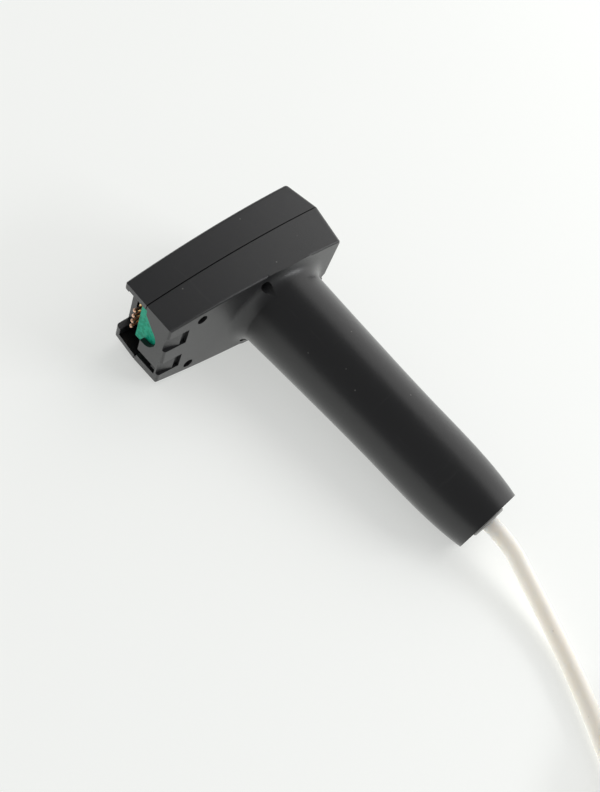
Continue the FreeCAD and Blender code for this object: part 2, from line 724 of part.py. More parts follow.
def make_cable_in_handle():
    return rod(CABLE_R, V(0, EXIT_Y, 0), V(0, CABLE_INSIDE_TOP, 0))


def make_pull_stop_tie():
    y0 = -HANDLE_REACH + HANDLE_END_WALL + GROMMET_SLEEVE + 0.4
    band = tube(CABLE_R + 1.1, CABLE_R, V(0, y0, 0), V(0, y0 + 3.4, 0))
    lock = box((CABLE_R + 0.6, CABLE_R + 5.0), (y0 - 0.4, y0 + 3.8), (-2.4, 2.4))
    return band.fuse(lock).cut(rod(CABLE_R, V(0, y0 - 5, 0), V(0, y0 + 8, 0)))


def make_wire_socket():
    half_x = CORE_PITCH * CORE_COUNT / 2 + 1.0
    body = box((-half_x, half_x), (BOARD_LEVEL - SOCKET_DEPTH, BOARD_LEVEL), (-3.0, 3.0))
    mouth = (BOARD_LEVEL - SOCKET_DEPTH - 1, BOARD_LEVEL - 1)
    return body.cut(box((-half_x + 1, half_x - 1), mouth, (-2.2, 2.2)))


def make_wire_plug():
    half_x = CORE_PITCH * CORE_COUNT / 2 - 0.1
    return box((-half_x, half_x), (PLUG_FLOOR, BOARD_LEVEL - 1), (-2.1, 2.1))


def make_core_wire(k):
    """One insulated core from the cable's cut end to the plug."""
    x_plug = CORE_PITCH * (k - (CORE_COUNT - 1) / 2)
    x_cable = 1.3 if x_plug > 0 else -1.3
    z_cable = 1.3 if k % 2 else -1.3
    wire, used = rounded_wire([
        V(x_cable, CABLE_INSIDE_TOP, z_cable),
        V(x_cable, CABLE_INSIDE_TOP + 2.6, z_cable),
        V(x_plug, PLUG_FLOOR - 2.6, 0),
        V(x_plug, PLUG_FLOOR, 0),
    ], 2.4)
    return sweep(wire, CORE_R)


# ============================================================================================
# resting pose
# ============================================================================================
def resting_turn(pitch):
    """Open end down by REST_ROLL, then handle end down by pitch degrees."""
    roll = FreeCAD.Rotation(V(0, 1, 0), -REST_ROLL)
    return FreeCAD.Rotation(V(1, 0, 0), pitch).multiply(roll)


def lowest(turn, circles):
    """Lowest point of circles about the Y axis, given as (y, radius)."""
    axis = turn.multVec(V(0, 1, 0))
    return min(axis.z * y - radius * math.sqrt(1 - axis.z ** 2) for y, radius in circles)


def flank_bottom(turn):
    """Lowest point of the head's lower flank, just inside its rounded edge."""
    steps = 180
    found = []
    for k in range(steps + 1):
        x = X_OPEN + (HEAD_LENGTH - BASE_SLANT) * k / steps
        found.append(turn.multVec(V(x, base_y(x) + BASE_EDGE_ROUND, BASE_DRAFT - half_width(x))).z)
    return min(found)


def resting_pose():
    """Pitch at which the flank and the handle's end touch the same level, and the lift to z = 0."""
    rings = [(-HANDLE_REACH, TIP_R), (-HANDLE_REACH + TIP_TAPER, NECK_R), (WAIST_LEVEL, WAIST_R)]
    low, high = 0.0, 12.0
    for _ in range(50):
        pitch = (low + high) / 2
        turn = resting_turn(pitch)
        if lowest(turn, rings) > flank_bottom(turn):
            low = pitch
        else:
            high = pitch
    turn = resting_turn(pitch)
    return turn, -min(lowest(turn, rings), flank_bottom(turn))


# ============================================================================================
# cable outside
# ============================================================================================
def cord_points(exit_point, exit_direction):
    """Route to the coil: a straight start, then the points chosen for the cable's lie."""
    return [exit_point, exit_point + exit_direction * FIRST_RUN] + [V(*p) for p in CABLE_POINTS]


def round_cable(name, points):
    """Tube of the cable's section along a route, with its figures printed."""
    wire, radii = rounded_wire(points)
    solid = sweep(wire, CABLE_R)
    ratio = solid.Volume / (wire.Length * math.pi * CABLE_R ** 2)
    rounded = [round(r) for r in radii]
    print("%s: length %.1f, radii %s, volume ratio %.4f" % (name, wire.Length, rounded, ratio))
    return solid


def tail_route():
    cx, cy = COIL_CENTRE
    return [V(cx + r * math.cos(a * DEG), cy + r * math.sin(a * DEG), z) for a, r, z in TAIL_POINTS]


def make_cable_coil():
    """Outer shape of the coil: two columns of turns, COIL_LAYERS high."""
    low = V(COIL_CENTRE[0], COIL_CENTRE[1], COIL_FLOOR)
    high = low + V(0, 0, 2 * CABLE_R * COIL_LAYERS)
    return tube(COIL_TURN_R + 2 * CABLE_R, COIL_TURN_R - 2 * CABLE_R, low, high)


def make_coil_ties():
    """Flat bands round the coil's section."""
    ties = []
    gap = 0.3
    height = 2 * CABLE_R * COIL_LAYERS
    inner = (COIL_TURN_R - 2 * CABLE_R - gap, COIL_TURN_R + 2 * CABLE_R + gap / 3)
    outer = (inner[0] - TIE_THICK, inner[1] + TIE_THICK)
    width = (-TIE_WIDTH / 2, TIE_WIDTH / 2)
    for angle in TIE_ANGLES:
        band = box(outer, width, (COIL_FLOOR - TIE_THICK, COIL_FLOOR + height + TIE_THICK))
        band = band.cut(box(inner, (width[0] - 1, width[1] + 1), (COIL_FLOOR, COIL_FLOOR + height)))
        band.rotate(V(0, 0, 0), V(0, 0, 1), angle)
        band.translate(V(COIL_CENTRE[0], COIL_CENTRE[1], 0))
        ties.append(band)
    return Part.makeCompound(ties)


def plug_frame(route):
    """Where the plug starts and which way it points, level with the surface."""
    along = route[-1] - route[-2]
    return route[-1], V(along.x, along.y, 0).normalize()


def make_plug_boot(start, along):
    return Part.makeCone(BOOT_START_R, BOOT_END_R, BOOT_LENGTH, start, along)


def make_plug_shell(start, along):
    """Metal sleeve, closed behind and open in front."""
    back = start + along * BOOT_LENGTH
    shell = rod(SHELL_R, back, back + along * SHELL_LENGTH)
    shell = shell.makeChamfer(0.8, [e for e in shell.Edges if len(e.Vertexes) == 1])
    return shell.cut(rod(SHELL_R - SHELL_WALL, back + along * 2.0, back + along * (SHELL_LENGTH + 1)))


def make_plug_insulator(start, along):
    back = start + along * (BOOT_LENGTH + 2.0)
    return rod(SHELL_R - SHELL_WALL, back, start + along * (BOOT_LENGTH + SHELL_LENGTH - SHELL_MOUTH))


def make_plug_pins(start, along):
    """Contact pins in a ring, open towards the key side."""
    across = V(-along.y, along.x, 0)
    face = start + along * (BOOT_LENGTH + SHELL_LENGTH - SHELL_MOUTH)
    pins = []
    for k in range(PLUG_PIN_COUNT):
        angle = (k - (PLUG_PIN_COUNT - 1) / 2) * 45 * DEG
        middle = face + across * (PLUG_PIN_CIRCLE * math.sin(angle))
        middle = middle + V(0, 0, -PLUG_PIN_CIRCLE * math.cos(angle))
        pins.append(rod(PLUG_PIN_R, middle, middle + along * (SHELL_MOUTH - 1.5)))
    return Part.makeCompound(pins)


# ============================================================================================
# the whole assembly
# ============================================================================================
def handset_parts():
    parts = {
        "handle_body": make_handle_body(),
        "head_cover": make_head_cover(),
        "housing_screws": make_housing_screws(),
        "main_board": make_main_board(),
        "board_screws": make_board_screws(),
        "contact_board": make_contact_board(),
        "board_link_pins": make_board_link_pins(),
        "driver_chip": make_driver_chip(),
        "chip_leads": make_chip_leads(),
        "storage_capacitors": make_storage_capacitors(),
        "chip_resistors": make_chip_resistors(),
        "regulator": make_regulator(),
        "contact_block": make_contact_block(),
        "contact_barrels": make_contact_barrels(),
        "contact_tails": make_contact_tails(),
        "cable_grommet": make_cable_grommet(),
        "cable_in_handle": make_cable_in_handle(),
        "pull_stop_tie": make_pull_stop_tie(),
        "wire_socket": make_wire_socket(),
        "wire_plug": make_wire_plug(),
    }
    for k, z in enumerate(contact_places(), 1):
        parts["contact_pin_%d" % k] = make_contact_pin(z)
        parts["contact_spring_%d" % k] = make_contact_spring(z)
    for k, colour in enumerate(("red", "black", "white", "green")):
        parts["core_wire_" + colour] = make_core_wire(k)
    return parts


def final_placement(parts):
    """Rest the handset on z = 0 with the origin under the middle of its box."""
    turn, lift = resting_pose()
    turned = FreeCAD.Placement(V(0, 0, lift), turn)
    shells = [parts[name].transformed(turned.toMatrix(), True)
              for name in ("handle_body", "head_cover", "cable_grommet")]
    bounds = Part.makeCompound(shells).optimalBoundingBox(False, False)
    shift = V(-(bounds.XMin + bounds.XMax) / 2, -(bounds.YMin + bounds.YMax) / 2, -bounds.ZMin)
    return FreeCAD.Placement(shift, FreeCAD.Rotation()).multiply(turned)


def cord_parts(exit_point, exit_direction):
    tail = tail_route()
    start, along = plug_frame(tail)
    return {
        "cable_free": round_cable("cable_free", cord_points(exit_point, exit_direction)),
        "cable_coil": make_cable_coil(),
        "coil_ties": make_coil_ties(),
        "cable_tail": round_cable("cable_tail", tail),
        "plug_boot": make_plug_boot(start, along),
        "plug_shell": make_plug_shell(start, along),
        "plug_insulator": make_plug_insulator(start, along),
        "plug_pins": make_plug_pins(start, along),
    }


def main():
    os.makedirs("parts", exist_ok=True)
    parts = handset_parts()
    place = final_placement(parts)
    parts = {name: shape.transformed(place.toMatrix(), True) for name, shape in parts.items()}
    parts.update(cord_parts(place.multVec(V(0, EXIT_Y, 0)), place.Rotation.multVec(V(0, -1, 0))))
    for name, shape in parts.items():
        if not shape.isValid() or shape.Volume <= 0:
            raise ValueError("%s is not a sound solid" % name)
        shape.exportStep("parts/%s.step" % name)
    print("placed at", place.Base)
    print("turned", place.Rotation.multVec(V(1, 0, 0)), place.Rotation.multVec(V(0, 1, 0)))


main()
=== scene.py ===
"""Studio scene of a hand-held control handset lying on its side, with its cable and round plug.

The handset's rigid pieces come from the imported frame. This script dresses them, makes the free
cable, the plug's ribbed boot and the contacts' coil springs, and sets up the floor, lights and
camera.
"""

import json
import logging
import math
from dataclasses import dataclass
from enum import Enum
from typing import Any, Sequence

import bmesh
import bpy
import numpy as np
from mathutils import Matrix, Vector

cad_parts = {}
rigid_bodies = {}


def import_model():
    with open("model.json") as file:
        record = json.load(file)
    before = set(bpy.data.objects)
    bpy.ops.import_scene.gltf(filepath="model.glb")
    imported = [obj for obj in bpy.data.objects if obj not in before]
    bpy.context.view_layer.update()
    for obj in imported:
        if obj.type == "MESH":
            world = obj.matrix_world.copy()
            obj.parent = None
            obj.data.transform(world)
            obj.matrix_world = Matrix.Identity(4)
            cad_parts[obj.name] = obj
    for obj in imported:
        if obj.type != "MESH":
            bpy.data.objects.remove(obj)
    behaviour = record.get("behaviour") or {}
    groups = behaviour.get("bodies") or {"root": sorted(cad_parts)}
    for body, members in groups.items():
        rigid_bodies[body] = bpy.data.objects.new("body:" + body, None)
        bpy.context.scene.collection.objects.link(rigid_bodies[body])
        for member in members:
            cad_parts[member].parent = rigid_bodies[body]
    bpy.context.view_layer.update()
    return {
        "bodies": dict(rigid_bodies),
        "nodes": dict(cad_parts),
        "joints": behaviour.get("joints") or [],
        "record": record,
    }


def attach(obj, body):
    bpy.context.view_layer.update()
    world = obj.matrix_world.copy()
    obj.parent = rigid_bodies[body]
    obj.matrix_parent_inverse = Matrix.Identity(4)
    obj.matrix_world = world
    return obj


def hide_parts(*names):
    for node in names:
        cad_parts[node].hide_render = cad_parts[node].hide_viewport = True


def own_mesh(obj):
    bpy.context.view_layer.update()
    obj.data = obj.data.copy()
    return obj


LOG = logging.getLogger("handset")
MM = 0.001
BODY = "handset"

Colour = tuple[float, float, float]


# --------------------------------------------------------------------------------------------
# places
# --------------------------------------------------------------------------------------------
class HandsetAxes:
    """Turns the handset's own coordinates, in mm, into the frame's, in metres.

    In the handset's own coordinates the handle's axis is Y, the halves part at y = 0, the middle
    of the head is z = 0 and the open end is at x = -58.
    """

    FACE_POINT = np.array([-58.0, -10.6, 6.0])

    def __init__(self, frame: dict[str, Any]) -> None:
        """Read the axes from the record.
        """
        mounts = {m["name"]: m for m in frame["record"]["mounts"]}
        x = np.array(frame["joints"][0]["axis"])
        y = -np.array(mounts["snap_pockets"]["axis"])
        self.turn = np.stack([x, y, np.cross(x, y)], axis=1)
        self.origin = np.array(mounts["module_face"]["pos_m"]) - self.turn @ self.FACE_POINT * MM

    def place(self, points: np.ndarray) -> np.ndarray:
        """Move points from the handset's coordinates to the frame's.

        Args:
            points: array whose last axis is x, y, z in mm.

        Returns:
            The same points in metres.
        """
        return np.asarray(points, float) @ self.turn.T * MM + self.origin


# --------------------------------------------------------------------------------------------
# meshes from surfaces
# --------------------------------------------------------------------------------------------
def link(mesh: bpy.types.ID, name: str) -> bpy.types.Object:
    """Put a mesh or a curve into the scene as an object at the origin.

    Args:
        mesh: the data block.
        name: the piece's name.

    Returns:
        The new object.
    """
    piece = bpy.data.objects.new(name, mesh)
    bpy.context.scene.collection.objects.link(piece)
    return piece


def surface(name: str, points: np.ndarray, wrap: tuple[bool, bool]) -> bpy.types.Object:
    """Make a mesh of a grid of points; neighbours in the grid share quads.

    Args:
        name: the piece's name.
        points: array of shape (rows, columns, 3), in metres.
        wrap: whether the last row meets the first, and the last column the first.

    Returns:
        The piece, shaded smooth.
    """
    rows, columns = points.shape[:2]
    index = np.arange(rows * columns).reshape(rows, columns)
    if wrap[0]:
        index = np.vstack([index, index[:1]])
    if wrap[1]:
        index = np.hstack([index, index[:, :1]])
    quads = np.stack([index[:-1, :-1], index[1:, :-1], index[1:, 1:], index[:-1, 1:]], axis=-1)
    mesh = bpy.data.meshes.new(name)
    mesh.from_pydata(points.reshape(-1, 3).tolist(), [], quads.reshape(-1, 4).tolist())
    mesh.update()
    mesh.shade_smooth()
    return link(mesh, name)


def turned(
    name: str, profile: np.ndarray, start: np.ndarray, along: np.ndarray, sides: int = 64
) -> bpy.types.Object:
    """Turn a profile about an axis: point(s, t) = start + a(s) along + r(s) (cos t across + sin t up).

    Args:
        name: the piece's name.
        profile: array of (distance along the axis, radius) in mm; ends at radius 0 close it.
        start: where the axis starts, in metres.
        along: unit vector of the axis.
        sides: points round the axis.

    Returns:
        The piece.
    """
    guide = np.array([0.0, 0.0, 1.0]) if abs(along[2]) < 0.9 else np.array([1.0, 0.0, 0.0])
    across = np.cross(guide, along)
    across /= np.linalg.norm(across)
    up = np.cross(along, across)
    t = np.linspace(0, 2 * math.pi, sides, endpoint=False)
    ring = np.cos(t)[:, None] * across + np.sin(t)[:, None] * up
    points = start + profile[:, 0, None, None] * MM * along + profile[:, 1, None, None] * MM * ring
    piece = surface(name, points, (False, True))
    merge(piece)
    return piece


def merge(piece: bpy.types.Object) -> None:
    """Join the doubled points at poles and seams and turn all faces outwards.

    Args:
        piece: the mesh object.
    """
    work = bmesh.new()
    work.from_mesh(piece.data)
    bmesh.ops.remove_doubles(work, verts=work.verts, dist=1e-6)
    bmesh.ops.recalc_face_normals(work, faces=work.faces)
    work.to_mesh(piece.data)
    work.free()
    piece.data.shade_smooth()


# --------------------------------------------------------------------------------------------
# shader helpers
# --------------------------------------------------------------------------------------------
class Nodes:
    """A node tree with short ways to add nodes and join them."""

    def __init__(self, tree: bpy.types.NodeTree) -> None:
        """Work on one tree.

        Args:
            tree: a material's, a world's or a group's node tree.
        """
        self.tree = tree

    def add(self, kind: str, inputs: dict[Any, Any] | None = None, **settings: Any) -> bpy.types.Node:
        """Add a node.

        Args:
            kind: the node's type name without its ShaderNode prefix.
            inputs: value or socket for each input, by name or number.
            settings: properties of the node.

        Returns:
            The node.
        """
        prefix = "" if kind.startswith("Node") else "ShaderNode"
        node = self.tree.nodes.new(prefix + kind)
        for key, value in settings.items():
            setattr(node, key, value)
        for key, value in (inputs or {}).items():
            if isinstance(value, bpy.types.NodeSocket):
                self.tree.links.new(value, node.inputs[key])
            else:
                node.inputs[key].default_value = value
        return node

    def place(self) -> bpy.types.NodeSocket:
        """Object coordinates, as a vector's socket."""
        return self.add("TexCoord").outputs["Object"]

    def remap(self, value: bpy.types.NodeSocket, source: tuple[float, float], target: tuple[float, float],
              smooth: bool = False) -> bpy.types.NodeSocket:
        """Map a value from one range to another, clamped.

        Args:
            value: the socket to read.
            source: range that it is read over.
            target: range that it is mapped to.
            smooth: whether it eases in and out.

        Returns:
            The mapped value's socket.
        """
        kind = "SMOOTHSTEP" if smooth else "LINEAR"
        inputs = {0: value, 1: source[0], 2: source[1], 3: target[0], 4: target[1]}
        return self.add("MapRange", inputs, interpolation_type=kind).outputs[0]

    def maths(self, operation: str, first: Any, second: Any = 0.0) -> bpy.types.NodeSocket:
        """One arithmetic step.

        Args:
            operation: the Math node's operation.
            first, second: sockets or numbers.

        Returns:
            The result's socket.
        """
        return self.add("Math", {0: first, 1: second}, operation=operation).outputs[0]

    def blend(self, factor: Any, first: Any, second: Any) -> bpy.types.NodeSocket:
        """Mix two colours.

        Args:
            factor: 0 for the first, 1 for the second.
            first, second: sockets or colours with alpha.

        Returns:
            The mixed colour's socket.
        """
        return self.add("Mix", {0: factor, 6: first, 7: second}, data_type="RGBA").outputs[2]


def group_tree(name: str, inputs: dict[str, float], outputs: Sequence[str]) -> tuple[Nodes, Any, Any]:
    """Start a shader node group with number inputs and number outputs.

    Args:
        name: the group's name.
        inputs: each input's name and its first value.
        outputs: the outputs' names.

    Returns:
        The tree's helper, its input node's outputs and its output node's inputs.
    """
    tree = bpy.data.node_groups.new(name, "ShaderNodeTree")
    for label, value in inputs.items():
        socket = tree.interface.new_socket(name=label, in_out="INPUT", socket_type="NodeSocketFloat")
        socket.default_value = value
    for label in outputs:
        tree.interface.new_socket(name=label, in_out="OUTPUT", socket_type="NodeSocketFloat")
    nodes = Nodes(tree)
    return nodes, nodes.add("NodeGroupInput").outputs, nodes.add("NodeGroupOutput").inputs


class Effects:
    """The shader node groups that several finishes share, built once.

    Attributes:
        PITS_PER_MOUND: how much finer the grain's pits are than its mounds.
        SPECK_EDGE: distances from a cell's middle at which a speck starts to fade and is gone.
        UPWARD: how far up a face looks, from no dust to full dust.
        STREAK_CUT: noise levels from no streak to full streak.
        STREAK_RUNS: stretch on each axis and turn of the two families of streaks.
        STREAK_TILT: turn of both families about the second axis.
    """

    PITS_PER_MOUND = 1.7
    SPECK_EDGE = (0.05, 0.16)
    UPWARD = (0.1, 0.8)
    STREAK_CUT = (0.66, 0.74)
    STREAK_RUNS = (((1.0, 14.0, 1.0), 0.5), ((12.0, 1.0, 3.0), 1.3))
    STREAK_TILT = 0.3

    def __init__(self) -> None:
        """Build the four groups."""
        self.grain = self.make_grain()
        self.drift = self.make_drift()
        self.dust = self.make_dust()
        self.scuffs = self.make_scuffs()

    def make_grain(self) -> bpy.types.NodeTree:
        """Moulded texture: fine pits between low mounds. Scale is in features per metre.

        Returns:
            The group, with a Height output.
        """
        n, inner, out = group_tree("moulded_grain", {"Scale": 3000.0}, ["Height"])
        where = n.place()
        mounds = n.add("TexNoise", {"Vector": where, "Scale": inner["Scale"], "Detail": 2.0})
        finer = n.maths("MULTIPLY", inner["Scale"], self.PITS_PER_MOUND)
        pits = n.add("TexVoronoi", {"Vector": where, "Scale": finer}, feature="SMOOTH_F1")
        n.tree.links.new(n.maths("ADD", mounds.outputs[0], pits.outputs["Distance"]), out["Height"])
        return n.tree

    def make_drift(self) -> bpy.types.NodeTree:
        """Slow change of tone over a surface, as resin and handling leave it.

        Returns:
            The group, with a Mask output.
        """
        n, inner, out = group_tree("tone_drift", {"Scale": 40.0, "Contrast": 1.0}, ["Mask"])
        noise = n.add("TexNoise", {"Vector": n.place(), "Scale": inner["Scale"], "Detail": 4.0})
        centred = n.maths("SUBTRACT", noise.outputs[0], 0.5)
        spread = n.maths("MULTIPLY", centred, inner["Contrast"])
        n.tree.links.new(n.add("Clamp", {0: n.maths("ADD", spread, 0.5)}).outputs[0], out["Mask"])
        return n.tree

    def make_dust(self) -> bpy.types.NodeTree:
        """Sparse small specks that lie on faces that look up.

        Returns:
            The group, with a Mask output.
        """
        n, inner, out = group_tree("dust_specks", {"Scale": 700.0, "Amount": 0.1}, ["Mask"])
        cells = n.add("TexVoronoi", {"Vector": n.place(), "Scale": inner["Scale"], "Randomness": 1.0})
        near = n.remap(cells.outputs["Distance"], self.SPECK_EDGE, (1.0, 0.0))
        chance = n.add("SeparateColor", {0: cells.outputs["Color"]}).outputs[0]
        few = n.maths("GREATER_THAN", inner["Amount"], chance)
        facing = n.add("SeparateXYZ", {0: n.add("NewGeometry").outputs["Normal"]}).outputs[2]
        up = n.remap(facing, self.UPWARD, (0.0, 1.0))
        n.tree.links.new(n.maths("MULTIPLY", n.maths("MULTIPLY", near, few), up), out["Mask"])
        return n.tree

    def make_scuffs(self) -> bpy.types.NodeTree:
        """Thin rubbed streaks: two stretched noises cut off high.

        Returns:
            The group, with a Mask output.
        """
        n, inner, out = group_tree("rubbed_streaks", {"Scale": 60.0, "Amount": 0.5}, ["Mask"])
        total = None
        for stretch, turn in self.STREAK_RUNS:
            turned_by = (turn, self.STREAK_TILT, turn)
            mapped = n.add("Mapping", {"Vector": n.place(), "Rotation": turned_by, "Scale": stretch})
            noise = n.add("TexNoise", {"Vector": mapped.outputs[0], "Scale": inner["Scale"], "Detail": 3.0})
            streak = n.remap(noise.outputs[0], self.STREAK_CUT, (0.0, 1.0))
            total = streak if total is None else n.maths("MAXIMUM", total, streak)
        n.tree.links.new(n.maths("MULTIPLY", total, inner["Amount"]), out["Mask"])
        return n.tree


# --------------------------------------------------------------------------------------------
# finishes
# --------------------------------------------------------------------------------------------
TONE_CONTRAST = 1.8
STREAK_SCALE = 45.0        # features per metre
STREAK_LIFT = (1.6, 0.02)  # factor and offset from the light tone
STREAK_ROUGH = 0.12
DUST_SCALE = 420.0         # cells per metre
DUST_COVER = 0.45
DUST_COLOUR = (0.32, 0.31, 0.29, 1.0)
DUST_ROUGH = 0.3


@dataclass(frozen=True)
class Finish:
    """A surface finish that varies slowly in tone and roughness and has a fine grain.

    Attributes:
        name: the material's name.
        dark, light: the two tones that it drifts between.
        rough: lowest and highest roughness.
        metallic: 1 for a metal.
        grain_scale: features per metre of the fine relief.
        grain_depth: height of the relief in metres.
        drift_scale: tone patches per metre.
        specular: the specular level.
        dust: share of specks.
        streaks: strength of the rubbed streaks.
    """

    name: str
    dark: Colour
    light: Colour
    rough: tuple[float, float] = (0.4, 0.5)
    metallic: float = 0.0
    grain_scale: float = 3000.0
    grain_depth: float = 0.00001
    drift_scale: float = 40.0
    specular: float = 0.5
    dust: float = 0.0
    streaks: float = 0.0

    def start(self) -> tuple[bpy.types.Material, Nodes, bpy.types.Node]:
        """Start the material.

        Returns:
            The material, its tree's helper and a Principled shader joined to its output.
        """
        material = bpy.data.materials.new(self.name)
        material.use_nodes = True
        material.node_tree.nodes.clear()
        n = Nodes(material.node_tree)
        shader = n.add("BsdfPrincipled", {"Metallic": self.metallic, "Specular IOR Level": self.specular})
        out = n.add("OutputMaterial")
        n.tree.links.new(shader.outputs[0], out.inputs[0])
        return material, n, shader

    def tone(self, n: Nodes, effects: Effects) -> bpy.types.NodeSocket:
        """Add the slow change of tone.

        Args:
            n: the material's tree.
            effects: the shared node groups.

        Returns:
            The mask's socket.
        """
        node = n.add("Group", node_tree=effects.drift)
        node.inputs["Scale"].default_value = self.drift_scale
        node.inputs["Contrast"].default_value = TONE_CONTRAST
        return node.outputs[0]

    def build(self, effects: Effects) -> bpy.types.Material:
        """Make the material.

        Args:
            effects: the shared node groups.

        Returns:
            The material.
        """
        material, n, shader = self.start()
        mask = self.tone(n, effects)
        colour = n.blend(mask, (*self.dark, 1.0), (*self.light, 1.0))
        rough = n.remap(mask, (0.0, 1.0), self.rough)
        colour, rough = self.wear(n, effects, colour, rough)
        n.tree.links.new(colour, shader.inputs["Base Color"])
        n.tree.links.new(rough, shader.inputs["Roughness"])
        self.relief(n, effects, shader)
        return material

    def wear(self, n: Nodes, effects: Effects, colour: bpy.types.NodeSocket, rough: bpy.types.NodeSocket
             ) -> tuple[bpy.types.NodeSocket, bpy.types.NodeSocket]:
        """Lay rubbed streaks and dust over a colour and a roughness.

        Args:
            n: the material's tree.
            effects: the shared node groups.
            colour, rough: sockets to start from.

        Returns:
            The worn colour's and roughness's sockets.
        """
        if self.streaks:
            node = n.add("Group", node_tree=effects.scuffs)
            node.inputs["Scale"].default_value = STREAK_SCALE
            node.inputs["Amount"].default_value = self.streaks
            rubbed = [min(1.0, c * STREAK_LIFT[0] + STREAK_LIFT[1]) for c in self.light]
            colour = n.blend(node.outputs[0], colour, (*rubbed, 1.0))
            rough = n.maths("ADD", rough, n.maths("MULTIPLY", node.outputs[0], STREAK_ROUGH))
        if self.dust:
            node = n.add("Group", node_tree=effects.dust)
            node.inputs["Scale"].default_value = DUST_SCALE
            node.inputs["Amount"].default_value = self.dust
            colour = n.blend(n.maths("MULTIPLY", node.outputs[0], DUST_COVER), colour, DUST_COLOUR)
            rough = n.maths("ADD", rough, n.maths("MULTIPLY", node.outputs[0], DUST_ROUGH))
        return colour, rough

    def relief(self, n: Nodes, effects: Effects, shader: bpy.types.Node,
               share: bpy.types.NodeSocket | None = None) -> None:
        """Join the fine grain to the shader's normal.

        Args:
            n: the material's tree.
            effects: the shared node groups.
            shader: the Principled shader.
            share: the part of the full depth that shows, where it varies.
        """
        node = n.add("Group", node_tree=effects.grain)
        node.inputs["Scale"].default_value = self.grain_scale
        height = node.outputs[0] if share is None else n.maths("MULTIPLY", node.outputs[0], share)
        bump = n.add("Bump", {"Height": height, "Distance": self.grain_depth, "Strength": 1.0})
        n.tree.links.new(bump.outputs[0], shader.inputs["Normal"])


@dataclass(frozen=True)
class HousingPlastic(Finish):
    """Black moulded plastic: a fine even texture on the head, a smoother satin on the handle, and painted
    shade along the gap where the halves meet.

    Attributes:
        handle_fade: frame levels, in metres, between which the handle's satin gives way to the
            head's texture.
        satin: roughness of the handle.
        handle_tone: the deeper black of the handle.
        handle_share: how far the handle goes to that black.
        handle_grain: the handle's share of the head's grain.
        seam_normal: the parting plane's normal.
        seam_offset: its distance from the origin along the normal, in metres.
        seam_half: half the width of the painted shade line where the halves meet, in metres.
        seam_fade: width over which that line fades on each side, in metres.
        seam_shade_tone: colour in the line.
    """

    handle_fade: tuple[float, float] = (0.038, 0.045)
    satin: tuple[float, float] = (0.3, 0.38)
    handle_tone: Colour = (0.002, 0.002, 0.0025)
    handle_share: float = 0.7
    handle_grain: float = 0.25
    seam_normal: tuple[float, float, float] = (0.0, 0.99780, 0.06625)
    seam_offset: float = 0.063058
    seam_half: float = 0.00016
    seam_fade: float = 0.00015
    seam_shade_tone: Colour = (0.001, 0.001, 0.001)

    def seam_shade(self, n: Nodes) -> bpy.types.NodeSocket:
        """Add the painted shade along the gap where the halves meet: a dark line.

        Args:
            n: the material's tree.

        Returns:
            The mask's socket: 1 on the parting plane and 0 away from it.
        """
        across = n.add("VectorMath", {0: n.place(), 1: self.seam_normal}, operation="DOT_PRODUCT")
        distance = n.maths("ABSOLUTE", n.maths("SUBTRACT", across.outputs["Value"], self.seam_offset))
        edge = (self.seam_half, self.seam_half + self.seam_fade)
        return n.remap(distance, edge, (1.0, 0.0), smooth=True)

    def build(self, effects: Effects) -> bpy.types.Material:
        """Make the material.

        Args:
            effects: the shared node groups.

        Returns:
            The material.
        """
        material, n, shader = self.start()
        mask = self.tone(n, effects)
        level = n.add("SeparateXYZ", {0: n.place()}).outputs[1]
        handle = n.remap(level, self.handle_fade, (1.0, 0.0), smooth=True)
        colour = n.blend(mask, (*self.dark, 1.0), (*self.light, 1.0))
        deeper = n.maths("MULTIPLY", handle, self.handle_share)
        colour = n.blend(deeper, colour, (*self.handle_tone, 1.0))
        head_rough = n.remap(mask, (0.0, 1.0), self.rough)
        grip_rough = n.remap(mask, (0.0, 1.0), self.satin)
        difference = n.maths("SUBTRACT", grip_rough, head_rough)
        rough = n.maths("ADD", head_rough, n.maths("MULTIPLY", difference, handle))
        colour, rough = self.wear(n, effects, colour, rough)
        # painted shade: the gap where the halves meet is darkened towards black
        seam_shade = self.seam_shade(n)
        colour = n.blend(seam_shade, colour, (*self.seam_shade_tone, 1.0))
        # the painted shade also takes the gloss away: a black metal reflects nothing
        n.tree.links.new(seam_shade, shader.inputs["Metallic"])
        n.tree.links.new(colour, shader.inputs["Base Color"])
        n.tree.links.new(rough, shader.inputs["Roughness"])
        self.relief(n, effects, shader, n.remap(handle, (0.0, 1.0), (1.0, self.handle_grain)))
        return material


@dataclass(frozen=True)
class CableSheath(Finish):
    """Soft off-white cable sheath that lets light in under its skin.

    Attributes:
        under_skin: share of the light that scatters inside.
        reach: how far that light goes, in metres.
        reach_tint: that reach's share for red, green and blue.
    """

    under_skin: float = 0.7
    reach: float = 0.009
    reach_tint: Colour = (1.0, 0.9, 0.75)

    def build(self, effects: Effects) -> bpy.types.Material:
        """Make the material.

        Args:
            effects: the shared node groups.

        Returns:
            The material.
        """
        material = super().build(effects)
        shader = next(x for x in material.node_tree.nodes if x.type == "BSDF_PRINCIPLED")
        shader.inputs["Subsurface Weight"].default_value = self.under_skin
        shader.inputs["Subsurface Radius"].default_value = self.reach_tint
        shader.inputs["Subsurface Scale"].default_value = self.reach
        return material


